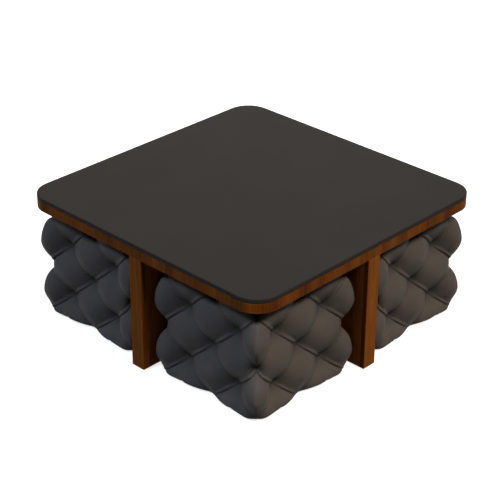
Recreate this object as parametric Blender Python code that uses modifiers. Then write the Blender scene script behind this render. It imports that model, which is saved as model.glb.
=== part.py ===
"""Square center table on two crossed panels, with a diamond-tufted pouf tucked into each of its four bays.

Metres, +Z up. The floor is z = 0, the table's middle is x = y = 0, and the front side faces -Y.
"""

import math

import bmesh
import bpy
from mathutils import Matrix, Vector

# Clearance that every piece keeps to the piece it is seated on
SEAT_GAP = 0.0003

# Table top: a dark sheet on a core board that is edged with wood
TABLE_SIDE = 1.050
TABLE_HEIGHT = 0.450
CORNER_RADIUS = 0.085
TOP_PANEL_THICK = 0.015
TOP_PANEL_EASE = 0.0025
CORE_THICK = 0.033
STRIP_THICK = 0.008
STRIP_EASE = 0.0006

# Crossed panels and the facings that close their ends
PANEL_THICK = 0.054
FACING_THICK = 0.018
FACING_EASE = 0.0012

# Steel angle brackets between the panels and the core board
BRACKET_LEG = 0.040
BRACKET_WIDTH = 0.090
BRACKET_THICK = 0.003
BRACKET_FROM_MIDDLE = 0.170
SCREW_HEAD_RADIUS = 0.0045
SCREW_HEAD_HEIGHT = 0.0022
SCREW_SPACING = 0.050

# Floor glides under the panels
GLIDE_RADIUS = 0.018
GLIDE_HEIGHT = 0.0025
GLIDE_CHAMFER = 0.001
GLIDE_FROM_EDGE = 0.045

# Poufs: outer cover
POUF_WIDTH = 0.425
POUF_FROM_PANEL = 0.0375
POUF_UNDER_TOP = 0.018
FOOT_HEIGHT = 0.004
TUFT_DEPTH = 0.037
FOAM_BEHIND_TUFT = 0.012
CROWN_SWELL = 0.008
EDGE_ROUND = 0.034
CORNER_SWELL = 0.020
HEM_TUCK = 0.007
SEAT_CROWN = 0.006
SEAT_FOAM = 0.044

# Poufs: what the cover holds
CARCASS_WALL = 0.015
SEAT_BOARD_THICK = 0.015
BASE_BOARD_THICK = 0.012
DUST_COVER_THICK = 0.0012
DUST_COVER_MARGIN = 0.006
FOOT_RADIUS = 0.017
FOOT_CHAMFER = 0.0015
FOOT_FROM_CORNER = 0.040

# Diamond lattice of the tufts, in steps across and up each side of the cover
LATTICE_STEPS = 4
TUFT_ROW_SHARES = (0.0, 0.219, 0.465, 0.711, 1.0)
CUTS_PER_STEP = 2
SEAM_LIFT_SHARE = 0.68
SEAM_POWER = 1.1
PAD_FULLEST_SHARE = 0.33
PAD_SLOPE_POWER = 1.5
SEAT_STEPS = 0.7
HEM_STEPS = 0.6
HEM_DEPTH_SHARE = 0.55

# Facets and cutters
CORNER_SEGMENTS = 12
TURNED_STEPS = 16
SCREW_SIDES = 10
CUT_OVERRUN = 0.010

# Heights that follow from the sizes above
CORE_TOP = TABLE_HEIGHT - TOP_PANEL_THICK
CORE_BOTTOM = CORE_TOP - CORE_THICK
PANEL_TOP = CORE_BOTTOM - SEAT_GAP
PANEL_HEIGHT = PANEL_TOP - GLIDE_HEIGHT - SEAT_GAP
PANEL_LENGTH = TABLE_SIDE - 2 * (FACING_THICK + SEAT_GAP)

# Pouf sizes that follow from the sizes above
POUF_CENTRE = PANEL_THICK / 2 + POUF_FROM_PANEL + POUF_WIDTH / 2
COVER_BOTTOM = FOOT_HEIGHT
COVER_TOP = CORE_BOTTOM - POUF_UNDER_TOP
CARCASS_WIDTH = POUF_WIDTH + 2 * (CROWN_SWELL - TUFT_DEPTH - FOAM_BEHIND_TUFT)
DUST_COVER_BOTTOM = FOOT_HEIGHT + SEAT_GAP
BASE_BOARD_BOTTOM = DUST_COVER_BOTTOM + DUST_COVER_THICK + SEAT_GAP
CARCASS_BOTTOM = BASE_BOARD_BOTTOM + BASE_BOARD_THICK + SEAT_GAP
SEAT_BOARD_TOP = COVER_TOP - SEAT_FOAM
CARCASS_TOP = SEAT_BOARD_TOP - SEAT_BOARD_THICK - SEAT_GAP

QUARTER_TURN = math.pi / 2
SIDES = ("front", "right", "back", "left")
CORNERS = {"front_right": (1, -1), "back_right": (1, 1), "back_left": (-1, 1), "front_left": (-1, -1)}


def start_scene():
    """Empties the scene and returns the collections for the parts and for the cutters."""
    for obj in list(bpy.data.objects):
        bpy.data.objects.remove(obj, do_unlink=True)
    collections = []
    for name in ("center_table", "cutters"):
        collection = bpy.data.collections.new(name)
        bpy.context.scene.collection.children.link(collection)
        collections.append(collection)
    return collections


def make_material(name, colour, roughness, metallic=0.0):
    material = bpy.data.materials.new(name)
    material.use_nodes = True
    shader = material.node_tree.nodes["Principled BSDF"]
    shader.inputs["Base Color"].default_value = (*colour, 1.0)
    shader.inputs["Roughness"].default_value = roughness
    shader.inputs["Metallic"].default_value = metallic
    return material


def mesh_from(build, name):
    """A mesh filled by build, a function that adds geometry to an empty bmesh."""
    bm = bmesh.new()
    build(bm)
    bmesh.ops.recalc_face_normals(bm, faces=bm.faces)
    mesh = bpy.data.meshes.new(name)
    bm.to_mesh(mesh)
    bm.free()
    return mesh


def add_part(name, mesh, material, location=(0, 0, 0), turn=0.0, parent=None):
    """Links mesh to the scene as one named part, turned about Z."""
    part = bpy.data.objects.new(name, mesh)
    parts.objects.link(part)
    part.location = location
    part.rotation_euler.z = turn
    part.parent = parent
    if not mesh.materials:
        mesh.materials.append(material)
    return part


def add_ease(part, width, segments=1):
    """Eases the sharp edges of a part with a small Bevel."""
    ease = part.modifiers.new("ease", "BEVEL")
    ease.width = width
    ease.segments = segments
    ease.limit_method = "ANGLE"


def add_block(bm, size, centre):
    """A block of the given size (x, y, z) round its centre."""
    block = bmesh.ops.create_cube(bm, size=1)
    bmesh.ops.scale(bm, vec=size, verts=block["verts"])
    bmesh.ops.translate(bm, vec=centre, verts=block["verts"])
    return block["verts"]


def block_mesh(name, size, centre=(0, 0, 0)):
    return mesh_from(lambda bm: add_block(bm, size, centre), name)


def plate_mesh(name, side, thick, radius):
    """A square plate with its upright corner edges rounded, standing on z = 0."""

    def build(bm):
        add_block(bm, (side, side, thick), (0, 0, thick / 2))
        upright = [e for e in bm.edges if abs(e.verts[0].co.z - e.verts[1].co.z) > thick / 2]
        bmesh.ops.bevel(bm, geom=upright, offset=radius, segments=CORNER_SEGMENTS, profile=0.5, affect="EDGES")

    return mesh_from(build, name)


def corner_strip_mesh():
    """A quarter ring of edge strip about the Z axis, from +X to +Y, standing on z = 0."""

    def build(bm):
        inner = CORNER_RADIUS - STRIP_THICK
        low, high = SEAT_GAP, CORE_THICK - SEAT_GAP
        rim = [Vector((r, 0, z)) for r, z in ((inner, low), (CORNER_RADIUS, low), (CORNER_RADIUS, high), (inner, high))]
        section = bm.faces.new([bm.verts.new(point) for point in rim])
        swept = [section, *section.edges, *section.verts]
        middle, up = (0, 0, 0), (0, 0, 1)
        bmesh.ops.spin(bm, geom=swept, cent=middle, axis=up, angle=QUARTER_TURN, steps=CORNER_SEGMENTS)

    return mesh_from(build, "corner_strip")


def turned_part(name, radius, height, chamfer, material, location, parent=None):
    """A low round glide: its profile turned about its own axis, standing on its location."""
    mesh = bpy.data.meshes.new(name)
    profile = [(0, height), (radius, height), (radius, chamfer), (radius - chamfer, 0), (0, 0)]
    rims = [(i, i + 1) for i in range(len(profile) - 1)]
    mesh.from_pydata([(r, 0, z) for r, z in profile], rims, [])
    part = add_part(name, mesh, material, location, parent=parent)
    turn = part.modifiers.new("turn", "SCREW")
    turn.axis = "Z"
    turn.steps = TURNED_STEPS
    turn.render_steps = TURNED_STEPS
    turn.use_merge_vertices = True
    turn.merge_threshold = SEAT_GAP / 3
    return part


def add_cutter(name, mesh, location=(0, 0, 0)):
    cutter = bpy.data.objects.new(name, mesh)
    cutters.objects.link(cutter)
    cutter.location = location
    cutter.hide_render = True
    cutter.display_type = "WIRE"
    return cutter


def add_boolean(part, cutter, operation="DIFFERENCE"):
    modifier = part.modifiers.new(cutter.name, "BOOLEAN")
    modifier.operation = operation
    modifier.object = cutter
    modifier.solver = "EXACT"


def baked_mesh(obj):
    """The mesh that obj's modifiers make, so that several parts can share it."""
    bpy.context.view_layer.update()
    return bpy.data.meshes.new_from_object(obj.evaluated_get(bpy.context.evaluated_depsgraph_get()))


def make_top():
    """The dark top panel, the core board under it and the wood strips round the core."""
    sheet = plate_mesh("top_panel", TABLE_SIDE, TOP_PANEL_THICK - SEAT_GAP, CORNER_RADIUS)
    top = add_part("top_panel", sheet, charcoal_laminate, (0, 0, CORE_TOP + SEAT_GAP))
    add_ease(top, TOP_PANEL_EASE, segments=2)

    inset = STRIP_THICK + SEAT_GAP
    core = plate_mesh("core_board", TABLE_SIDE - 2 * inset, CORE_THICK, CORNER_RADIUS - inset)
    add_part("core_board", core, raw_board, (0, 0, CORE_BOTTOM))

    straight = TABLE_SIDE - 2 * (CORNER_RADIUS + SEAT_GAP)
    strip_size = (straight, STRIP_THICK, CORE_THICK - 2 * SEAT_GAP)
    strip_y = -(TABLE_SIDE - STRIP_THICK) / 2
    strip = block_mesh("edge_strip", strip_size, (0, strip_y, CORE_BOTTOM + CORE_THICK / 2))
    for quarter, side in enumerate(SIDES):
        edge = add_part(f"edge_strip_{side}", strip, walnut, turn=quarter * QUARTER_TURN)
        add_ease(edge, STRIP_EASE)

    bend = corner_strip_mesh()
    arc_centre = TABLE_SIDE / 2 - CORNER_RADIUS
    for quarter, (corner, (x, y)) in enumerate(CORNERS.items()):
        place = (x * arc_centre, y * arc_centre, CORE_BOTTOM)
        curved = add_part(f"corner_strip_{corner}", bend, walnut, place, turn=(quarter - 1) * QUARTER_TURN)
        add_ease(curved, STRIP_EASE)


def make_crossed_panels():
    """Two upright panels halved into each other, with a facing on each of their four ends."""
    centre_z = PANEL_TOP - PANEL_HEIGHT / 2
    slot = (PANEL_THICK + 2 * SEAT_GAP, PANEL_THICK + 2 * CUT_OVERRUN, PANEL_HEIGHT / 2 + CUT_OVERRUN)
    lap = SEAT_GAP / 2
    slot_shift = slot[2] / 2 - lap
    for name, turn, up in (("cross_panel_lower", 0, 1), ("cross_panel_upper", 1, -1)):
        panel_mesh = block_mesh(name, (PANEL_LENGTH, PANEL_THICK, PANEL_HEIGHT))
        panel = add_part(name, panel_mesh, walnut_dark, (0, 0, centre_z), turn=turn * QUARTER_TURN)
        slot_mesh = block_mesh(f"{name}_slot", slot if turn == 0 else (slot[1], slot[0], slot[2]))
        add_boolean(panel, add_cutter(f"{name}_slot", slot_mesh, (0, 0, centre_z + up * slot_shift)))
        add_ease(panel, FACING_EASE)

    facing_y = -(TABLE_SIDE - FACING_THICK) / 2
    facing = block_mesh("leg_facing", (PANEL_THICK, FACING_THICK, PANEL_HEIGHT), (0, facing_y, centre_z))
    for quarter, side in enumerate(SIDES):
        leg = add_part(f"leg_facing_{side}", facing, walnut, turn=quarter * QUARTER_TURN)
        add_ease(leg, FACING_EASE)
        out = Matrix.Rotation(quarter * QUARTER_TURN, 3, "Z") @ Vector((0, -1, 0))
        place = out * (TABLE_SIDE / 2 - GLIDE_FROM_EDGE)
        turned_part(f"glide_{side}", GLIDE_RADIUS, GLIDE_HEIGHT, GLIDE_CHAMFER, nylon, place)


def bracket_mesh():
    """An angle bracket: one leg on the panel face at y = 0, one under the core board at z = 0, with four screw heads."""
    reach = BRACKET_LEG - BRACKET_THICK / 2
    on_panel = (BRACKET_WIDTH, BRACKET_THICK, BRACKET_LEG)
    under_core = (BRACKET_WIDTH, BRACKET_LEG, BRACKET_THICK)
    plate = bpy.data.objects.new("bracket", block_mesh("bracket", on_panel, (0, BRACKET_THICK / 2, -BRACKET_LEG / 2)))
    cutters.objects.link(plate)
    plate.hide_render = True
    leg = block_mesh("bracket_leg", under_core, (0, BRACKET_LEG / 2, -BRACKET_THICK / 2))
    add_boolean(plate, add_cutter("bracket_leg", leg), "UNION")

    def heads(bm):
        radii = {"radius1": SCREW_HEAD_RADIUS, "radius2": SCREW_HEAD_RADIUS / 2}
        sunk = SCREW_HEAD_HEIGHT / 2
        for x in (-SCREW_SPACING / 2, SCREW_SPACING / 2):
            on_face = Matrix.Translation((x, BRACKET_THICK + sunk, -reach / 2)) @ Matrix.Rotation(-QUARTER_TURN, 4, "X")
            below = Matrix.Translation((x, reach / 2 + BRACKET_THICK, -BRACKET_THICK - sunk))
            for matrix in (on_face, below @ Matrix.Rotation(math.pi, 4, "X")):
                bmesh.ops.create_cone(
                    bm, cap_ends=True, segments=SCREW_SIDES, depth=2 * SCREW_HEAD_HEIGHT, matrix=matrix, **radii
                )

    add_boolean(plate, add_cutter("bracket_screws", mesh_from(heads, "bracket_screws")), "UNION")
    return baked_mesh(plate)


def make_brackets():
    """One bracket on each arm of the cross, at the side that the next bay clockwise opens on."""
    bracket = bracket_mesh()
    for quarter, side in enumerate(SIDES):
        spin = Matrix.Rotation(quarter * QUARTER_TURN, 3, "Z")
        place = spin @ Vector((BRACKET_FROM_MIDDLE, PANEL_THICK / 2 + SEAT_GAP, PANEL_TOP))
        add_part(f"bracket_{side}", bracket, zinc_steel, place, turn=quarter * QUARTER_TURN)


def belly(turns, fullest):
    """Goes from 0 at the lower fold to 1 where a pad is fullest, round below that, and slopes back to 0."""
    share = turns % 1
    below = 1 - max(0, 1 - share / fullest) ** 2
    above = 1 - max(0, (share - fullest) / (1 - fullest)) ** PAD_SLOPE_POWER
    return min(below, above)


def tuft_swell(across, up, sag):
    """How far the cover swells at a place given in lattice steps: 0 in a tuft, 1 where a sagging pad is fullest."""
    rise, fall = (up - across) / 2, (up + across) / 2
    one, two = (abs(math.sin(math.pi * turns)) ** SEAM_POWER for turns in (rise, fall))
    fullest = 0.5 + (PAD_FULLEST_SHARE - 0.5) * sag
    pad = belly(rise, fullest) * belly(fall, fullest)
    return SEAM_LIFT_SHARE * (one + two - one * two) + (1 - SEAM_LIFT_SHARE) * pad


def row_height(up):
    """The height of a lattice row, which can lie between two rows of tufts."""
    row = min(int(up), LATTICE_STEPS - 1)
    low, high = TUFT_ROW_SHARES[row], TUFT_ROW_SHARES[row + 1]
    return COVER_BOTTOM + (COVER_TOP - COVER_BOTTOM) * (low + (high - low) * (up - row))


def cover_point(steps):
    """Moves a point of the lattice cube, given in steps from its corner, to its place on the tufted cover."""
    half = LATTICE_STEPS / 2
    at_end = [abs(abs(s - half) - half) < 1 / (4 * LATTICE_STEPS) for s in steps]
    face = at_end.index(True)
    across, up = [s for axis, s in enumerate(steps) if axis != face]
    above_hem = min(1, steps[2] / HEM_STEPS)
    sag = min(1, (LATTICE_STEPS - steps[2]) / SEAT_STEPS)
    swell = tuft_swell(across, up, sag)
    depth = TUFT_DEPTH * (HEM_DEPTH_SHARE + (1 - HEM_DEPTH_SHARE) * above_hem)
    inward = depth * (1 - swell) + HEM_TUCK * (1 - above_hem) ** 2 * swell

    box = Vector([(s / half - 1) * POUF_WIDTH / 2 for s in steps[:2]] + [row_height(steps[2])])
    reach = POUF_WIDTH / 2 - EDGE_ROUND
    inner = Vector([max(-reach, min(reach, c)) for c in box[:2]] + [min(box.z, COVER_TOP - EDGE_ROUND)])
    outward = box - inner
    square = outward / max(abs(c) for c in outward)
    unit = outward.normalized()
    corner = 4 * (unit.x * unit.y) ** 2
    point = inner + (EDGE_ROUND - inward + CORNER_SWELL * corner) * unit + CROWN_SWELL * square
    if face == 2:
        flat = [1 - (2 * c / POUF_WIDTH) ** 2 for c in point[:2]]
        point.z += SEAT_CROWN * max(0, flat[0]) * max(0, flat[1])
    return point


def cover_cage(bm):
    """A cube cut into lattice cells, each split along the fold between its two tufts, and moved onto the cover."""
    bmesh.ops.create_cube(bm, size=LATTICE_STEPS)
    bmesh.ops.translate(bm, vec=[LATTICE_STEPS / 2] * 3, verts=bm.verts)
    bmesh.ops.subdivide_edges(bm, edges=bm.edges, cuts=LATTICE_STEPS - 1, use_grid_fill=True)
    tufts = [v for v in bm.verts if sum(round(c) for c in v.co) % 2 == 0]
    underside = [f for f in bm.faces if f.normal.z < -0.5]
    inside = [v for v in tufts if all(f in underside for f in v.link_faces)]
    bmesh.ops.connect_verts(bm, verts=[v for v in tufts if v not in inside])
    underside = [f for f in bm.faces if f.normal.z < -0.5]
    bmesh.ops.dissolve_faces(bm, faces=underside)
    bmesh.ops.subdivide_edges(bm, edges=bm.edges, cuts=CUTS_PER_STEP, use_grid_fill=True)
    for vert in bm.verts:
        vert.co = cover_point(vert.co)


def tufted_cover_mesh():
    """The padded cover, hollowed out for the boxes that it is pulled over."""
    cage = bpy.data.objects.new("cover_cage", mesh_from(cover_cage, "cover_cage"))
    cutters.objects.link(cage)
    cage.hide_render = True
    width = CARCASS_WIDTH + 2 * SEAT_GAP
    low, high = COVER_BOTTOM - CUT_OVERRUN, SEAT_BOARD_TOP + SEAT_GAP
    hollow = block_mesh("cover_hollow", (width, width, high - low), (0, 0, (low + high) / 2))
    add_boolean(cage, add_cutter("cover_hollow", hollow))
    cover = baked_mesh(cage)
    cover.materials.clear()
    cover.materials.append(leatherette)
    cover.shade_smooth()
    return cover


def carcass_mesh():
    """A square ring of board: one block with the room inside it cut away."""
    height = CARCASS_TOP - CARCASS_BOTTOM
    middle = (0, 0, (CARCASS_TOP + CARCASS_BOTTOM) / 2)
    ring = bpy.data.objects.new("ring", block_mesh("ring", (CARCASS_WIDTH, CARCASS_WIDTH, height), middle))
    cutters.objects.link(ring)
    ring.hide_render = True
    room = CARCASS_WIDTH - 2 * CARCASS_WALL
    room_mesh = block_mesh("ring_room", (room, room, height + 2 * CUT_OVERRUN), middle)
    add_boolean(ring, add_cutter("ring_room", room_mesh))
    return baked_mesh(ring)


def make_poufs():
    """Four alike poufs. Each hangs on an empty at the middle of its footprint, which is what slides out."""
    cover = tufted_cover_mesh()
    carcass = carcass_mesh()
    seat_middle = SEAT_BOARD_TOP - SEAT_BOARD_THICK / 2
    seat = block_mesh("seat_board", (CARCASS_WIDTH, CARCASS_WIDTH, SEAT_BOARD_THICK), (0, 0, seat_middle))
    base_middle = BASE_BOARD_BOTTOM + BASE_BOARD_THICK / 2
    base = block_mesh("base_board", (CARCASS_WIDTH, CARCASS_WIDTH, BASE_BOARD_THICK), (0, 0, base_middle))
    cloth_width = CARCASS_WIDTH - 2 * DUST_COVER_MARGIN
    cloth_middle = DUST_COVER_BOTTOM + DUST_COVER_THICK / 2
    cloth = block_mesh("dust_cover", (cloth_width, cloth_width, DUST_COVER_THICK), (0, 0, cloth_middle))
    foot_place = CARCASS_WIDTH / 2 - FOOT_FROM_CORNER
    for corner, (x, y) in CORNERS.items():
        pouf = bpy.data.objects.new(f"pouf_{corner}", None)
        parts.objects.link(pouf)
        pouf.location = (x * POUF_CENTRE, y * POUF_CENTRE, 0)
        add_part(f"pouf_{corner}_cover", cover, leatherette, parent=pouf)
        add_part(f"pouf_{corner}_carcass", carcass, plywood, parent=pouf)
        add_part(f"pouf_{corner}_seat_board", seat, plywood, parent=pouf)
        add_part(f"pouf_{corner}_base_board", base, plywood, parent=pouf)
        add_part(f"pouf_{corner}_dust_cover", cloth, black_cloth, parent=pouf)
        for foot, (fx, fy) in CORNERS.items():
            name = f"pouf_{corner}_foot_{foot}"
            place = (fx * foot_place, fy * foot_place, 0)
            turned_part(name, FOOT_RADIUS, FOOT_HEIGHT, FOOT_CHAMFER, nylon, place, parent=pouf)


parts, cutters = start_scene()
charcoal_laminate = make_material("charcoal_laminate", (0.045, 0.038, 0.034), 0.55)
walnut = make_material("walnut", (0.085, 0.028, 0.006), 0.45)
walnut_dark = make_material("walnut_dark", (0.050, 0.018, 0.006), 0.5)
leatherette = make_material("leatherette", (0.034, 0.033, 0.035), 0.42)
raw_board = make_material("raw_board", (0.35, 0.24, 0.15), 0.8)
plywood = make_material("plywood", (0.45, 0.32, 0.20), 0.75)
zinc_steel = make_material("zinc_steel", (0.55, 0.55, 0.56), 0.35, metallic=1.0)
nylon = make_material("nylon", (0.02, 0.02, 0.02), 0.6)
black_cloth = make_material("black_cloth", (0.012, 0.012, 0.012), 0.95)

make_top()
make_crossed_panels()
make_brackets()
make_poufs()
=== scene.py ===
# %% [markdown]
# # A center table with four tufted poufs
#
# The real object is a low square table on two crossed panels, with a padded cube tucked into each
# of its four bays. The packed model already holds every piece at its real size, so this script
# adds what the eye notices next: soft, deeply tufted covers, a rounded matt top, and a finish for
# every surface. Nothing is fitted by hand, because the frame says where each piece is.

# %% Load the frame
import math

import bmesh
import bpy
import numpy as np
from mathutils import Matrix, Vector


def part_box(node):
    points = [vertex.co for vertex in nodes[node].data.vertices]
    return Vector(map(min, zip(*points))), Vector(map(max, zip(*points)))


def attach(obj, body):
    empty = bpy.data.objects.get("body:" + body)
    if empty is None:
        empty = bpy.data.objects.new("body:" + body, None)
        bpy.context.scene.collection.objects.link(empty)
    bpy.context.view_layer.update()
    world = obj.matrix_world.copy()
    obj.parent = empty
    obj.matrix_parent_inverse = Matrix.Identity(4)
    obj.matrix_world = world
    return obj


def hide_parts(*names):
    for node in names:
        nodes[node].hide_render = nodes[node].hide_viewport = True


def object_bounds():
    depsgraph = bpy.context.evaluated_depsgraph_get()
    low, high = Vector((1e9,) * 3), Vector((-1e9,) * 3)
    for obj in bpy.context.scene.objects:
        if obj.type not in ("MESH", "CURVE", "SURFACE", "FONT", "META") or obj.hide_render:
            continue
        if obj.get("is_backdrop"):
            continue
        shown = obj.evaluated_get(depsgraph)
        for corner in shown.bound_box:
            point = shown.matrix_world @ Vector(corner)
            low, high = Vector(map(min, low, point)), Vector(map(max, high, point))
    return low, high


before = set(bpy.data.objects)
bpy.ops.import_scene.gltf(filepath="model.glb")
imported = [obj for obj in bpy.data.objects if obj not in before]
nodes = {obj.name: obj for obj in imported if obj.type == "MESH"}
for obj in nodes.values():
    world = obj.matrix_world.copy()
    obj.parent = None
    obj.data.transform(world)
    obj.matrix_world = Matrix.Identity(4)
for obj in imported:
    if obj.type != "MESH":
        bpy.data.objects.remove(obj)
cad_low, cad_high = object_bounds()
size = cad_high - cad_low
MM = 1000
corners = ("front_right", "back_right", "back_left", "front_left")
print(f"{len(nodes)} nodes, {size.x:.3f} x {size.y:.3f} x {size.z:.3f} m")

# %% [markdown]
# ## The camera
#
# A photograph of a square thing tells where it was taken from. The four top corners and the leg
# ends fix the angle, the distance and the focal length, and a small roll takes up the tilt of the
# camera. The view comes first because every later choice of detail is judged from it.

# %% Camera at the photograph's angle
VIEW_AZIMUTH = math.radians(43.628)
VIEW_ELEVATION = math.radians(28.697)
VIEW_ROLL = math.radians(0.4855)
VIEW_DISTANCE = 5.054
AIM_RIGHT, AIM_UP = -0.0063, -0.1956
FOCAL_LENGTH, SENSOR_WIDTH = 110.67, 36.0

camera_back = Vector(
    (
        math.sin(VIEW_AZIMUTH) * math.cos(VIEW_ELEVATION),
        -math.cos(VIEW_AZIMUTH) * math.cos(VIEW_ELEVATION),
        math.sin(VIEW_ELEVATION),
    )
)
camera_right = Vector((math.cos(VIEW_AZIMUTH), math.sin(VIEW_AZIMUTH), 0))
camera_up = camera_back.cross(camera_right)
camera_axes = Matrix((camera_right, camera_up, camera_back)).transposed()

camera_data = bpy.data.cameras.new("camera")
camera_data.sensor_width = SENSOR_WIDTH
camera_data.lens = FOCAL_LENGTH
camera = bpy.data.objects.new("camera", camera_data)
bpy.context.scene.collection.objects.link(camera)
bpy.context.scene.camera = camera
aim = Vector((0, 0, cad_high.z)) + camera_right * AIM_RIGHT + camera_up * AIM_UP
turned = camera_axes @ Matrix.Rotation(VIEW_ROLL, 3, "Z")
camera.matrix_world = Matrix.Translation(aim + camera_back * VIEW_DISTANCE) @ turned.to_4x4()
print("camera at", [round(c, 3) for c in camera.location])

# %% [markdown]
# ## A small language for shaders
#
# A finish is a graph of nodes, but a graph is hard to read as code. Here one class wraps a socket
# so that `0.5 + 0.3 * grain` adds the Math nodes by itself, and one method adds any other node
# from its kind, its settings and what its sockets take.


# %% A socket that can be used in a sum
class Flow:
    """A number that varies over a surface. Sums with it add Math nodes to its finish."""

    def __init__(self, finish, socket):
        self.finish, self.socket = finish, socket

    def maths(self, operation, first, second):
        return self.finish.add("Math", {"operation": operation}, {0: first, 1: second})

    def __add__(self, other):
        return self.maths("ADD", self, other)

    def __sub__(self, other):
        return self.maths("SUBTRACT", self, other)

    def __rsub__(self, other):
        return self.maths("SUBTRACT", other, self)

    def __mul__(self, other):
        return self.maths("MULTIPLY", self, other)

    __radd__ = __add__
    __rmul__ = __mul__


print("sums ready:", [name for name in vars(Flow) if name.startswith("__r")])


# %% A finish that nodes are added to
class Finish:
    """A material and its surface shader."""

    def __init__(self, name, **surface):
        self.material = bpy.data.materials.new(name)
        self.material.use_nodes = True
        self.tree = self.material.node_tree
        self.surface = self.tree.nodes["Principled BSDF"]
        self.set(**surface)

    def feed(self, socket, value):
        """Links a Flow to a socket, or sets the socket's own value."""
        if isinstance(value, Flow):
            self.tree.links.new(value.socket, socket)
        elif isinstance(value, tuple) and socket.type == "RGBA":
            socket.default_value = (*value, 1.0)
        else:
            socket.default_value = value

    def set(self, **values):
        """Feeds sockets of the surface shader, such as base_color or roughness."""
        titles = {socket.name.lower().replace(" ", "_"): socket for socket in self.surface.inputs}
        for name, value in values.items():
            self.feed(titles[name], value)

    def add(self, kind, settings=None, inputs=None, output=0):
        """Adds any node: settings first, then its sockets. Returns one of its outputs."""
        node = self.tree.nodes.new("ShaderNode" + kind)
        for name, value in (settings or {}).items():
            if name == "stops":
                while len(node.color_ramp.elements) < len(value):
                    node.color_ramp.elements.new(1.0)
                for element, (place, colour) in zip(node.color_ramp.elements, value):
                    element.position = place
                    element.color = (*colour, 1.0)
            else:
                setattr(node, name, value)
        for name, value in (inputs or {}).items():
            self.feed(node.inputs[name], value)
        return Flow(self, node.outputs[output])

    def place(self, scale=(1, 1, 1)):
        """The point on the piece, in its own metres, stretched by scale."""
        point = self.add("TexCoord", output="Object")
        return self.add("Mapping", inputs={"Vector": point, "Scale": scale})

    def noise(self, point, scale, detail=4.0, roughness=0.5):
        """Noise from 0 to 1, with scale in lumps to the metre."""
        amounts = {"Vector": point, "Scale": scale, "Detail": detail, "Roughness": roughness}
        return self.add("TexNoise", inputs=amounts)

    def cells(self, point, scale, feature, output=0):
        """Cells of a Voronoi pattern, with scale in cells to the metre."""
        return self.add("TexVoronoi", {"feature": feature}, {"Vector": point, "Scale": scale}, output)

    def threads(self, place, per_metre):
        """Goes from 0 to 1 and back along an axis, once for each pair of threads or plies."""
        return self.add("Math", {"operation": "PINGPONG"}, {0: place * per_metre, 1: 1.0})

    def split(self, point):
        """The x, y and z of a point."""
        return [self.add("SeparateXYZ", inputs={"Vector": point}, output=axis) for axis in range(3)]

    def ramp(self, amount, *stops):
        """Colours between the stops, each a place from 0 to 1 and a colour."""
        return self.add("ValToRGB", {"stops": stops}, {"Fac": amount})

    def mix(self, amount, first, second):
        """The first colour where amount is 0, the second where it is 1."""
        factor, colour_a, colour_b, colour_out = 0, 6, 7, 2
        inputs = {factor: amount, colour_a: first, colour_b: second}
        return self.add("Mix", {"data_type": "RGBA"}, inputs, output=colour_out)

    def emboss(self, height, depth, under=None):
        """Bumps from a height of 0 to 1, with depth in metres."""
        inputs = {"Height": height, "Strength": 1.0, "Distance": depth}
        if under is not None:
            inputs["Normal"] = under
        return self.add("Bump", inputs=inputs)


BLACK, WHITE = (0.0, 0.0, 0.0), (1.0, 1.0, 1.0)
print("a finish can add", [name for name in vars(Finish) if not name.startswith("_")])

# %% [markdown]
# ## Coated cloth
#
# The poufs are covered in a charcoal coated cloth, which is a skin of vinyl with a pressed leather
# grain. Its colour hardly varies on the pads. What makes it read as leather is the grain, a cell
# pattern of about a millimetre and a half, and the soft creases over it. Just above each tuft the
# colour is darker: this is painted shade, standing in for the shadow in the hollow of the tuft.
#
# The painted shade could be drawn on a picture. A number stored on each point of the mesh is
# simpler here, because the cover's own rule knows how far a point is from its tuft.

# %% Sizes and tones of the cloth
GRAIN_CELLS, CREASE_LUMPS, CLOUD_LUMPS = 620.0, 38.0, 9.0
GRAIN_DEPTH, CREASE_RELIEF = 0.0004, 0.0012
CHARCOAL = (0.3, (0.110, 0.109, 0.108)), (0.7, (0.121, 0.120, 0.119))
CLOTH_ROUGHNESS, CREASE_ROUGHNESS = 0.36, 0.16
# painted shade: how much darker the cloth is drawn just above each tuft
TUFT_SHADE_DARKNESS = 0.75
MATT = 0.02
print("the grain's cells are", round(MM / GRAIN_CELLS, 2), "mm wide")


# %% Finish: charcoal leatherette
def make_leatherette():
    finish = Finish("leatherette", specular_ior_level=MATT)
    point = finish.place()
    grain = finish.cells(point, GRAIN_CELLS, "DISTANCE_TO_EDGE")
    creases = finish.noise(point, CREASE_LUMPS, detail=6.0, roughness=0.6)
    cloud = finish.noise(point, CLOUD_LUMPS, detail=3.0)
    pressed = finish.emboss(grain, GRAIN_DEPTH)
    worn = finish.emboss(creases, CREASE_RELIEF, under=pressed)
    # painted shade above each tuft, read from the number stored on each point
    gathered = finish.add("Attribute", {"attribute_name": "gathered"}, output="Fac")
    tone = finish.mix(TUFT_SHADE_DARKNESS * gathered, finish.ramp(cloud, *CHARCOAL), BLACK)
    finish.set(base_color=tone, roughness=CLOTH_ROUGHNESS + CREASE_ROUGHNESS * creases, normal=worn)
    return finish.material


leatherette = make_leatherette()
print(leatherette.name, len(leatherette.node_tree.nodes), "nodes")

# %% [markdown]
# ## The matt top
#
# The top is a dark, dead matt laminate. From a step away it is one even tone, which is what makes
# it hard: a flat colour looks like a hole in the picture. Pressed laminate has a fine speckle and
# a dry, pebbled skin a few hundredths of a millimetre deep, and both are noise at that scale.

# %% Sizes and tones of the laminate
SPECKLES, LAMINATE_CLOUDS = 1500.0, 5.0
SPECKLE_DEPTH, SPECKLE_SHARE = 0.00012, 0.5
LAMINATE_TONES = (0.4, (0.0310, 0.0287, 0.0265)), (0.6, (0.0335, 0.0311, 0.0288))
LAMINATE_ROUGHNESS, CLOUD_ROUGHNESS = 0.5, 0.14
print("the speckles are", round(MM / SPECKLES, 2), "mm wide")


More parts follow.
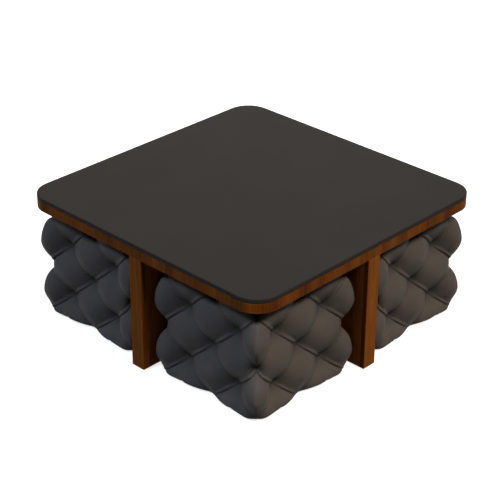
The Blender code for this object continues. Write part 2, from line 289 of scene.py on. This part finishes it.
# %% Finish: charcoal laminate
def make_laminate():
    finish = Finish("charcoal_laminate", specular_ior_level=MATT)
    point = finish.place()
    speckle = finish.noise(point, SPECKLES, detail=2.0)
    cloud = finish.noise(point, LAMINATE_CLOUDS, detail=3.0)
    tone = finish.ramp(SPECKLE_SHARE * speckle + (1 - SPECKLE_SHARE) * cloud, *LAMINATE_TONES)
    dryness = LAMINATE_ROUGHNESS + CLOUD_ROUGHNESS * cloud
    finish.set(base_color=tone, roughness=dryness, normal=finish.emboss(speckle, SPECKLE_DEPTH))
    return finish.material


laminate = make_laminate()
print(laminate.name, len(laminate.node_tree.nodes), "nodes")

# %% [markdown]
# ## Walnut with the grain standing up
#
# The band, the leg facings and the crossed panels are veneered with the grain running up and
# down, even on the narrow band, where it shows as short strokes with a seam here and there. Grain
# is noise on a point that is squeezed along the fibres, so that each lump is drawn out into a
# streak. Three sizes of it lie on top of each other: the broad figure, the fibres and the pores.
#
# The leg facings give the tone. The band is drawn darker than them, and the panels' broad sides
# lighter: that lighter copy is painted light, standing in for the light that bounces into the bays.

# %% Sizes and tones of the grain
ALONG_FIBRES = (1.0, 1.0, 0.035)
FIGURE, FIBRES, PORES = 17.0, 190.0, 1000.0
FIGURE_SHARE, FIBRE_SHARE, PORE_SHARE = 0.5, 0.35, 0.15
FIBRE_DEPTH, PORE_DEPTH = 0.0003, 0.0001
WALNUT_PLACES = 0.38, 0.5, 0.62
WALNUT_TONES = (0.116, 0.034, 0.0042), (0.235, 0.077, 0.0110), (0.345, 0.125, 0.0200)
# the band's copy is drawn darker; the panels' copy is drawn lighter, as painted light for the bays
BAND_SHARE, PANEL_PAINTED_LIGHT = 0.65, 1.9
SEAMS_PER_METRE, SEAM_WIDTH_SHARE, SEAM_DARKNESS = 11.0, 0.012, 0.6
WALNUT_ROUGHNESS, GRAIN_ROUGHNESS = 0.42, 0.2
print("a seam every", round(MM / SEAMS_PER_METRE), "mm")


# %% Finish: walnut
def make_walnut(name, tone_scale=1.0):
    finish = Finish(name, specular_ior_level=MATT)
    point = finish.place()
    squeezed = finish.place(scale=ALONG_FIBRES)
    figure = finish.noise(squeezed, FIGURE, detail=3.0)
    fibres = finish.noise(squeezed, FIBRES, detail=5.0, roughness=0.6)
    pores = finish.noise(squeezed, PORES, detail=2.0)
    grain = FIGURE_SHARE * figure + FIBRE_SHARE * fibres + PORE_SHARE * pores
    tones = [tuple(tone_scale * part for part in tone) for tone in WALNUT_TONES]
    wood = finish.ramp(grain, *zip(WALNUT_PLACES, tones))
    x, y, z = finish.split(point)
    edge = {"voronoi_dimensions": "1D", "feature": "DISTANCE_TO_EDGE"}
    from_seam = finish.add("TexVoronoi", edge, {"W": x + y, "Scale": SEAMS_PER_METRE})
    seam = finish.add("Math", {"operation": "LESS_THAN"}, {0: from_seam, 1: SEAM_WIDTH_SHARE})
    tone = finish.mix(SEAM_DARKNESS * seam, wood, tones[0])
    relief = finish.emboss(pores, PORE_DEPTH, under=finish.emboss(fibres, FIBRE_DEPTH))
    finish.set(base_color=tone, roughness=WALNUT_ROUGHNESS + GRAIN_ROUGHNESS * grain, normal=relief)
    return finish.material


walnut = make_walnut("walnut")
band_walnut = make_walnut("band_walnut", BAND_SHARE)
panel_walnut = make_walnut("panel_walnut", PANEL_PAINTED_LIGHT)
print(walnut.name, len(walnut.node_tree.nodes), "nodes")

# %% [markdown]
# ## What is seen only from below
#
# The core board is pressed from wood chips, the carcasses are plywood, the brackets are galvanised
# and the feet are moulded. Someone who tips the table over sees them, so they get the same care:
# chips and zinc crystals are cells of a Voronoi pattern, plies are thin layers counted in z, and
# the dust cover is two sets of threads that cross.

# %% Sizes and tones of the boards
CHIPS, CHIP_DUST, CHIP_DEPTH = 260.0, 900.0, 0.0002
DUST_SHARE, PLY_SHARE = 0.3, 0.2
CHIP_TONES = (0.2, (0.24, 0.15, 0.08)), (0.8, (0.44, 0.32, 0.2))
PLY_FIBRES, ALONG_PLY, PLIES = 60.0, (1.0, 0.06, 1.0), 700.0
PLY_DEPTH = 0.0002
PLY_TONES = (0.3, (0.42, 0.28, 0.15)), (0.7, (0.64, 0.47, 0.29))
print("a ply every", round(MM / PLIES, 1), "mm")


# %% Finishes: boards
def make_chipboard():
    finish = Finish("raw_board", roughness=0.85, specular_ior_level=0.1)
    point = finish.place()
    value = finish.split(finish.cells(point, CHIPS, "F1", output="Color"))[0]
    dust = finish.noise(point, CHIP_DUST)
    tone = finish.ramp((1 - DUST_SHARE) * value + DUST_SHARE * dust, *CHIP_TONES)
    finish.set(base_color=tone, normal=finish.emboss(value, CHIP_DEPTH))
    return finish.material


def make_plywood():
    finish = Finish("plywood", roughness=0.7, specular_ior_level=0.12)
    figure = finish.noise(finish.place(scale=ALONG_PLY), PLY_FIBRES, detail=5.0)
    height = finish.split(finish.place())[2]
    ply = finish.threads(height, PLIES)
    tone = finish.ramp((1 - PLY_SHARE) * figure + PLY_SHARE * ply, *PLY_TONES)
    finish.set(base_color=tone, normal=finish.emboss(figure, PLY_DEPTH))
    return finish.material


chipboard, plywood = make_chipboard(), make_plywood()
print(chipboard.name, plywood.name)

# %% Sizes and tones of the zinc, the nylon and the cloth
CRYSTALS = 320.0
ZINC_TONES = (0.0, (0.42, 0.43, 0.44)), (1.0, (0.62, 0.63, 0.64))
ZINC_ROUGHNESS, CRYSTAL_ROUGHNESS = 0.34, 0.2
NYLON_GRAIN, NYLON_DEPTH = 1200.0, 0.0001
NYLON_TONES = (0.3, (0.016, 0.016, 0.017)), (0.7, (0.028, 0.028, 0.029))
NYLON_ROUGHNESS, NYLON_GRAIN_ROUGHNESS = 0.4, 0.2
THREADS_PER_METRE, WEAVE_DEPTH = 900.0, 0.0002
WEAVE_TONES = (0.1, (0.006, 0.006, 0.006)), (0.9, (0.024, 0.024, 0.024))
print("threads", round(MM / THREADS_PER_METRE, 1), "mm apart")


# %% Finishes: zinc, nylon and cloth
def make_zinc():
    finish = Finish("zinc_steel", metallic=1.0)
    value = finish.split(finish.cells(finish.place(), CRYSTALS, "F1", output="Color"))[0]
    dryness = ZINC_ROUGHNESS + CRYSTAL_ROUGHNESS * value
    finish.set(base_color=finish.ramp(value, *ZINC_TONES), roughness=dryness)
    return finish.material


def make_nylon():
    finish = Finish("nylon", specular_ior_level=0.2)
    grain = finish.noise(finish.place(), NYLON_GRAIN)
    dryness = NYLON_ROUGHNESS + NYLON_GRAIN_ROUGHNESS * grain
    relief = finish.emboss(grain, NYLON_DEPTH)
    finish.set(base_color=finish.ramp(grain, *NYLON_TONES), roughness=dryness, normal=relief)
    return finish.material


def make_black_cloth():
    finish = Finish("black_cloth", roughness=0.95, specular_ior_level=0.05)
    x, y, z = finish.split(finish.place())
    weave = finish.threads(x, THREADS_PER_METRE) * finish.threads(y, THREADS_PER_METRE)
    finish.set(base_color=finish.ramp(weave, *WEAVE_TONES), normal=finish.emboss(weave, WEAVE_DEPTH))
    return finish.material


zinc, nylon, black_cloth = make_zinc(), make_nylon(), make_black_cloth()
print(zinc.name, nylon.name, black_cloth.name)

# %% Each packed piece gets its finish
finishes = {
    "charcoal_laminate": laminate,
    "raw_board": chipboard,
    "walnut": walnut,
    "plywood": plywood,
    "leatherette": leatherette,
    "black_cloth": black_cloth,
    "zinc_steel": zinc,
    "nylon": nylon,
}
for name, node in nodes.items():
    for slot in node.material_slots:
        slot.material = finishes[slot.material.name.split(".")[0]]
        if slot.material is walnut and "strip" in name:
            slot.material = band_walnut
        # painted light: the crossed panels take a lighter copy of the walnut
        if slot.material is walnut and "panel" in name:
            slot.material = panel_walnut
print(len(finishes), "finishes on", len(nodes), "nodes")

# %% [markdown]
# ## Deep diamond tufting
#
# Twine through the foam pulls the cover in at the tufts. They stand on a lattice, staggered from
# row to row, and the cloth between two neighbours folds down along a straight line, so that each
# diamond swells on its own. The same rule runs on round the corners and over the seat.
#
# A sculpted shape could be pushed about by hand. A rule is better here, because every pouf has the
# same 41 tufts. A cube is cut into lattice cells, every cell is split along its fold, and the
# pieces are cut finely. Edges then lie along the folds, which keeps the pleats crisp.

# %% Sizes of the tufted box
STEPS = 4
CLOTH_CUTS = 13
CROWD = 0.6
ROW_SHARES = (0.0, 0.219, 0.465, 0.711, 1.0)
SIDE_BULGE, SEAT_BULGE = 0.0118, 0.0125
CROWN_SWELL, SEAT_CROWN = 0.0075, 0.006
EDGE_ROUND = 0.048
CORNER_SWELL, CORNER_STEPS = 0.019, 0.9
HEM_ROUND = 0.016
SEAT_GAP = 0.0003
NEARLY_NOTHING, FACING_DOWN = 1e-4, -0.5

cover_low, cover_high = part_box("pouf_front_right_cover")
cover_bottom = cover_low.z
cover_width = cover_high.x - cover_low.x - 2 * SIDE_BULGE
cover_top = cover_high.z - SEAT_BULGE
lattice_step = cover_width / STEPS
fold_pitch = lattice_step * math.sqrt(2)

carcass_low, carcass_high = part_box("pouf_front_right_carcass")
seat_board_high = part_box("pouf_front_right_seat_board")[1]
cavity_half = (carcass_high.x - carcass_low.x) / 2 + SEAT_GAP
cavity_top = seat_board_high.z + SEAT_GAP
print(f"cover {cover_width:.3f} m wide, tufts {lattice_step * MM:.0f} mm apart across")


# %% A cube cut along the folds
def crowd(turns):
    """Draws evenly spaced values towards whole numbers, where the folds are."""
    return turns - CROWD * np.sin(2 * np.pi * turns) / (2 * np.pi)


def lattice_cube(cuts):
    """A cube with its corner at 0, open below, whose edges lie along the folds."""
    bm = bmesh.new()
    bmesh.ops.create_cube(bm, size=STEPS)
    bmesh.ops.translate(bm, vec=[STEPS / 2] * 3, verts=bm.verts)
    bmesh.ops.subdivide_edges(bm, edges=bm.edges, cuts=STEPS - 1, use_grid_fill=True)
    tufts = [v for v in bm.verts if sum(round(c) for c in v.co) % 2 == 0]
    bmesh.ops.connect_verts(bm, verts=tufts)
    bmesh.ops.delete(bm, geom=[f for f in bm.faces if f.normal.z < FACING_DOWN], context="FACES")
    bmesh.ops.subdivide_edges(bm, edges=bm.edges, cuts=cuts, use_grid_fill=True)
    return bm


def face_steps(steps):
    """Steps across and up the face that each point lies on, and the two axes these run along."""
    at_end = np.abs(np.abs(steps - STEPS / 2) - STEPS / 2) < NEARLY_NOTHING
    facing = np.argmax(at_end, axis=1)
    axes = np.array([(1, 2), (0, 2), (0, 1)])[facing]
    rows = np.arange(len(steps))
    return steps[rows, axes[:, 0]], steps[rows, axes[:, 1]], axes


def fold_turns(across, up):
    """Counts the rising and the falling folds, with whole numbers on a fold and points crowded to them."""
    return crowd((up - across) / 2), crowd((up + across) / 2)


print("a fold a quarter of the way on is drawn to", round(float(crowd(0.25)), 3))

# %% Sizes of the pads and the folds
SEAM_LIFT, SEAM_POWER = 0.012, 1.1
PAD_SWELL, PAD_FULLEST = 0.026, 0.45
DIMPLE_DEPTH, DIMPLE_WIDTH = 0.009, 0.030
# where the painted shade above each tuft lies, and how tall and how wide it is
PAINTED_SHADE_RISE, PAINTED_SHADE_TALL, PAINTED_SHADE_WIDE = 0.020, 0.038, 0.036
BELLY_POWER, BACK_POWER = 1.6, 2.2
PLEAT_HEIGHT, PLEAT_TAPER = 0.007, 0.7
PLEAT_ABOVE, PLEAT_BELOW = 0.013, 0.0045
CREASE_DEPTH, CREASE_WIDTH = 0.0015, 0.0020
SAG_STEPS = 0.7
HEM_SHARE, HEM_RISE = 0.55, 0.7
print("pads stand out", round(MM * (SEAM_LIFT + PAD_SWELL + DIMPLE_DEPTH)), "mm from the tufts")


# %% How far the cloth stands out between the tufts
def smooth_step(share):
    share = np.clip(share, 0, 1)
    return share * share * (3 - 2 * share)


def lobe(turns, power):
    """Goes from 0 at one fold to 1 halfway and back to 0 at the next."""
    return np.abs(np.sin(np.pi * turns)) ** power


def belly(turns, fullest):
    """Goes from 0 at a fold to 1 where the pad is fullest, round below that, and back to 0 above."""
    share = turns - np.floor(turns)
    below = 1 - np.clip(1 - share / fullest, 0, 1) ** BELLY_POWER
    above = 1 - np.clip((share - fullest) / (1 - fullest), 0, 1) ** BACK_POWER
    return np.minimum(below, above)


def pleat(above, along):
    """The narrow pleat on a fold. Above is the distance up from it, along is 0 at the tufts."""
    near_above = smooth_step((PLEAT_ABOVE - above) / PLEAT_ABOVE)
    near_below = smooth_step((above + PLEAT_BELOW) / PLEAT_BELOW)
    crease = np.exp(-(((above + PLEAT_BELOW) / CREASE_WIDTH) ** 2))
    return along**PLEAT_TAPER * (PLEAT_HEIGHT * (near_above * near_below) - CREASE_DEPTH * crease)


def stand_out(across, up, sag):
    """How far the cover stands out from its plain box at a place on the lattice."""
    rise, fall = (up - across) / 2, (up + across) / 2
    one, two = (lobe(turns, SEAM_POWER) for turns in (rise, fall))
    seam = one + two - one * two
    fullest = 0.5 + (PAD_FULLEST - 0.5) * sag
    dome = belly(rise, fullest) * belly(fall, fullest)
    from_rise, from_fall = ((turns - np.round(turns)) * fold_pitch for turns in (rise, fall))
    along_rise, along_fall = (np.abs(np.sin(np.pi * turns)) for turns in (fall, rise))
    pleats = pleat(from_rise, along_rise) + pleat(from_fall, along_fall)
    dimple = np.exp(-(from_rise**2 + from_fall**2) / DIMPLE_WIDTH**2)
    return SEAM_LIFT * (seam - 1) + PAD_SWELL * (dome - 1) - DIMPLE_DEPTH * dimple + pleats


print("crown", stand_out(np.array([1.0]), np.array([2.0]), np.array([1.0])))


# %% From the lattice to the cover
def cover_points(steps):
    """Moves points of the lattice cube to their place on a cover with its middle at x = y = 0."""
    across, up, axes = face_steps(steps)
    rise, fall = fold_turns(across, up)
    across, up = fall - rise, fall + rise
    steps = steps.copy()
    rows = np.arange(len(steps))
    steps[rows, axes[:, 0]], steps[rows, axes[:, 1]] = across, up

    on_seat = axes[:, 1] == 1
    sag = np.where(on_seat, 0, smooth_step((STEPS - up) / SAG_STEPS))
    shallow = np.where(on_seat, 1, HEM_SHARE + (1 - HEM_SHARE) * smooth_step(up / HEM_RISE))
    out = stand_out(across, up, sag) * shallow

    row_curve = np.polyfit(range(STEPS + 1), ROW_SHARES, STEPS)
    heights = cover_bottom + (cover_top - cover_bottom) * np.polyval(row_curve, steps[:, 2])
    box = np.column_stack([(steps[:, :2] / STEPS - 0.5) * cover_width, heights])
    reach = cover_width / 2 - EDGE_ROUND
    inner = np.clip(box, (-reach, -reach, cover_bottom), (reach, reach, cover_top - EDGE_ROUND))
    outward = box - inner
    unit = outward / np.linalg.norm(outward, axis=1, keepdims=True)
    outward /= np.abs(outward).max(axis=1, keepdims=True)
    from_corner = np.where(on_seat, CORNER_STEPS, np.minimum(across, STEPS - across))
    corner = smooth_step(1 - from_corner / CORNER_STEPS)
    reach_out = EDGE_ROUND + out + CORNER_SWELL * corner
    points = inner + reach_out[:, None] * unit + CROWN_SWELL * outward

    flat = 1 - (2 * points[:, :2] / cover_width) ** 2
    points[:, 2] += np.where(on_seat, SEAT_CROWN * np.clip(flat, 0, 1).prod(axis=1), 0)
    above_hem = np.clip(points[:, 2] - cover_bottom, 0, HEM_ROUND)
    tuck = HEM_ROUND - np.sqrt(HEM_ROUND**2 - (HEM_ROUND - above_hem) ** 2)
    points[:, :2] -= tuck[:, None] * outward[:, :2]
    return points


def painted_shade_shares(steps):
    """How much painted shade a point gets: 1 just above each tuft, fading to 0 on the pads."""
    across, up, _ = face_steps(steps)
    from_rise, from_fall = (turns - np.round(turns) for turns in fold_turns(across, up))
    above, beside = (from_rise + from_fall) * lattice_step, (from_fall - from_rise) * lattice_step
    return np.exp(-(((above - PAINTED_SHADE_RISE) / PAINTED_SHADE_TALL) ** 2) - (beside / PAINTED_SHADE_WIDE) ** 2)


row_heights = cover_bottom + np.array(ROW_SHARES) * (cover_top - cover_bottom)
print("rows of tufts at", row_heights.round(3), "m")


# %% Closing the cover below
def close_below(bm):
    """Turns the hem in to the carcass, up its sides and over its top, so that the cover is closed."""
    rim = [edge for edge in bm.edges if edge.is_boundary]
    for height in (cover_bottom, cavity_top, cavity_top):
        grown = bmesh.ops.extrude_edge_only(bm, edges=rim)["geom"]
        rim = [item for item in grown if isinstance(item, bmesh.types.BMEdge)]
        verts = [item for item in grown if isinstance(item, bmesh.types.BMVert)]
        for vert in verts:
            vert.co.xy *= cavity_half / max(abs(vert.co.x), abs(vert.co.y))
            vert.co.z = height
    bmesh.ops.pointmerge(bm, verts=verts, merge_co=(0, 0, cavity_top))


def put_in_order(items, place):
    """Numbers points or faces by where they are, so that every run puts them in the same order."""
    for number, item in enumerate(sorted(items, key=lambda item: tuple(place(item)))):
        item.index = number
    items.sort()


print(f"the cover is closed round a carcass {2 * cavity_half:.4f} m wide, up to {cavity_top:.4f} m")

# %% [markdown]
# ## Letting the cloth settle
#
# The rule gives an even, mechanical skin. Real coated cloth is cut a little too large, pulled back
# at the tufts and pushed out by the foam, so it puffs, sags and gathers. Blender's Cloth does that
# here: the folds are held where the twine holds them, pressure stands in for the foam, the cloth is
# a little larger than its place, and a small share of its weight hangs in the pads. Foam holds its
# form better than air does, so the points go only two fifths of the way that the cloth went.

# %% Sizes of the settling cloth
CLOTH_FRAMES = 20
FOAM_PRESSURE = 5.0
SPARE_CLOTH = 0.03
CLOTH_STIFFNESS = 0.3
WEIGHT_SHARE = 0.15
FOLD_HOLD, FOLD_WIDTH = 0.9, 0.03
TUFT_FIRMNESS, TUFT_WIDTH = 2, 0.04
SETTLED_SHARE = 0.4
print("the cloth settles for", CLOTH_FRAMES, "frames")


# %% The cloth settles over the foam
def held_shares(steps, on_rim):
    """How firmly each point is held: fully in the tufts and at the hem, and less along the folds."""
    across, up, _ = face_steps(steps)
    from_folds = [np.abs(turns - np.round(turns)) for turns in ((up - across) / 2, (up + across) / 2)]
    held = FOLD_HOLD * np.clip(1 - np.minimum(*from_folds) / FOLD_WIDTH, 0, 1)
    held = np.maximum(held, np.clip(TUFT_FIRMNESS * (1 - np.hypot(*from_folds) / TUFT_WIDTH), 0, 1))
    held[on_rim] = 1
    return held


def settle(bm, held):
    """Runs Cloth on a copy of the mesh and moves its points towards where the cloth comes to rest."""
    mesh = bpy.data.meshes.new("settling")
    bm.to_mesh(mesh)
    piece = bpy.data.objects.new("settling", mesh)
    bpy.context.scene.collection.objects.link(piece)
    group = piece.vertex_groups.new(name="held")
    for index in np.flatnonzero(held):
        group.add([int(index)], held[index], "REPLACE")
    modifier = piece.modifiers.new("cloth", "CLOTH")
    cloth = modifier.settings
    cloth.vertex_group_mass = group.name
    cloth.use_pressure = True
    cloth.uniform_pressure_force = FOAM_PRESSURE
    cloth.shrink_min = -SPARE_CLOTH
    cloth.bending_stiffness = CLOTH_STIFFNESS
    cloth.effector_weights.gravity = WEIGHT_SHARE
    modifier.collision_settings.use_collision = False
    modifier.point_cache.frame_end = CLOTH_FRAMES
    scene = bpy.context.scene
    for frame_number in range(1, CLOTH_FRAMES + 1):
        scene.frame_set(frame_number)
    settled = piece.evaluated_get(bpy.context.evaluated_depsgraph_get()).to_mesh()
    for vert, point in zip(bm.verts, settled.vertices):
        vert.co = vert.co.lerp(point.co, SETTLED_SHARE)
    bpy.data.objects.remove(piece)
    bpy.data.meshes.remove(mesh)
    scene.frame_set(1)


def tufted_cover():
    """One cover: the lattice is put in place, settles, is made finer and is closed below."""
    bm = lattice_cube(CLOTH_CUTS)
    steps = np.array([vert.co for vert in bm.verts])
    for vert, point in zip(bm.verts, cover_points(steps)):
        vert.co = point
    settle(bm, held_shares(steps, [vert.is_boundary for vert in bm.verts]))
    # painted shade above the tufts, stored on each point for the leatherette
    gathered = bm.verts.layers.float.new("gathered")
    for vert, share in zip(bm.verts, painted_shade_shares(steps)):
        vert[gathered] = share
    bmesh.ops.subdivide_edges(bm, edges=bm.edges, cuts=1, smooth=1.0, use_grid_fill=True)
    close_below(bm)
    bmesh.ops.recalc_face_normals(bm, faces=bm.faces)
    put_in_order(bm.verts, lambda vert: vert.co)
    put_in_order(bm.faces, lambda face: face.calc_center_median())
    mesh = bpy.data.meshes.new("tufted_cover")
    bm.to_mesh(mesh)
    bm.free()
    mesh.materials.append(leatherette)
    mesh.shade_smooth()
    return mesh


cover_mesh = tufted_cover()
made = np.array([vert.co for vert in cover_mesh.vertices])
print(len(cover_mesh.polygons), "faces in a cover, from", made.min(axis=0), "to", made.max(axis=0))

# %% Four covers on their poufs
for corner in corners:
    node = f"pouf_{corner}_cover"
    low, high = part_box(node)
    cover = bpy.data.objects.new(f"tufted_cover_{corner}", cover_mesh)
    bpy.context.scene.collection.objects.link(cover)
    cover.location = ((low.x + high.x) / 2, (low.y + high.y) / 2, 0)
    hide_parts(node)
    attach(cover, f"pouf_{corner}")
print("covers placed on", len(corners), "poufs")

# %% [markdown]
# ## A white studio
#
# The photograph's background is white, but the table is dark and must stay dark. A white floor
# under strong lamps would throw its light back up under the table. So the floor and the world ask
# what kind of ray meets them: one that the camera sends finds them white, straight or in a mirror,
# and light on its way to a surface finds them nearly black. The floor still shows the shadows.


# %% What the camera sees and what lights the table
def light_path(finish):
    """1 for rays from the camera, straight, mirrored or through glass, and 0 for light on its way."""
    path = finish.add("LightPath").socket.node
    kinds = "Is Camera Ray", "Is Glossy Ray", "Is Transmission Ray"
    camera, glossy, through = (Flow(finish, path.outputs[kind]) for kind in kinds)
    return finish.add("Math", {"operation": "MINIMUM"}, {0: camera + glossy + through, 1: 1.0})


print("rays can be told apart")

# %% The floor
FLOOR_SIZE, FLOOR_DROP = 24.0, 0.0005
FLOOR_LIT, FLOOR_SEEN, FLOOR_GLOW = (0.04,) * 3, (0.95,) * 3, (0.75,) * 3
floor_mesh = bpy.data.meshes.new("floor")
floor_bm = bmesh.new()
bmesh.ops.create_grid(floor_bm, x_segments=1, y_segments=1, size=FLOOR_SIZE / 2)
floor_bm.to_mesh(floor_mesh)
floor_bm.free()
floor = bpy.data.objects.new("floor", floor_mesh)
bpy.context.scene.collection.objects.link(floor)
floor.location.z = -FLOOR_DROP
floor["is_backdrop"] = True
pale = Finish("studio_floor", roughness=1.0, specular_ior_level=0.0, emission_strength=1.0)
seen = light_path(pale)
pale.set(base_color=pale.mix(seen, FLOOR_LIT, FLOOR_SEEN))
pale.set(emission_color=pale.mix(seen, BLACK, FLOOR_GLOW))
floor_mesh.materials.append(pale.material)
print("floor", FLOOR_SIZE, "m wide")


# %% The world
class Sky(Finish):
    """The world's nodes, which take the same sums."""

    def __init__(self, name):
        self.world = bpy.data.worlds.new(name)
        self.world.use_nodes = True
        self.tree = self.world.node_tree
        self.surface = self.tree.nodes["Background"]


SKY_LIGHT = 0.04
sky = Sky("studio")
sky.set(strength=SKY_LIGHT + (1 - SKY_LIGHT) * light_path(sky), color=WHITE)
bpy.context.scene.world = sky.world
print("the sky lights with", SKY_LIGHT)

# %% [markdown]
# ## The lamps
#
# The shadows in the photograph are short under the band and differ in tint: warm light comes from
# the right and cooler light from the left, both from about 50 degrees up. Two broad suns give that.
# A third, weak one stands behind the table, so that its back can be judged as well.

# %% Three lamps
SUN_SPREAD = 13
LAMPS = {
    "key_light": (92, 52, 2.34, (1.0, 0.787, 0.606)),
    "fill_light": (-10, 50, 1.15, (0.80, 0.84, 1.0)),
    "back_light": (222, 30, 0.60, (1.0, 0.98, 0.96)),
}
for name, (azimuth, elevation, strength, colour) in LAMPS.items():
    light = bpy.data.lights.new(name, "SUN")
    light.energy, light.color, light.angle = strength, colour, math.radians(SUN_SPREAD)
    lamp = bpy.data.objects.new(name, light)
    bpy.context.scene.collection.objects.link(lamp)
    around = Matrix.Rotation(math.radians(azimuth), 4, "Z")
    lamp.matrix_world = around @ Matrix.Rotation(math.radians(90 - elevation), 4, "X")
print(len(LAMPS), "lamps")

# %% [markdown]
# ## The last settings
#
# The view transform is Standard, so that a colour comes out as it is written. The size of all
# that is shown is printed; the soft covers stand a little way out of the packed model.

# %% View transform and size
bpy.context.scene.view_settings.view_transform = "Standard"
low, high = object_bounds()
print("size", [round(c, 4) for c in high - low])
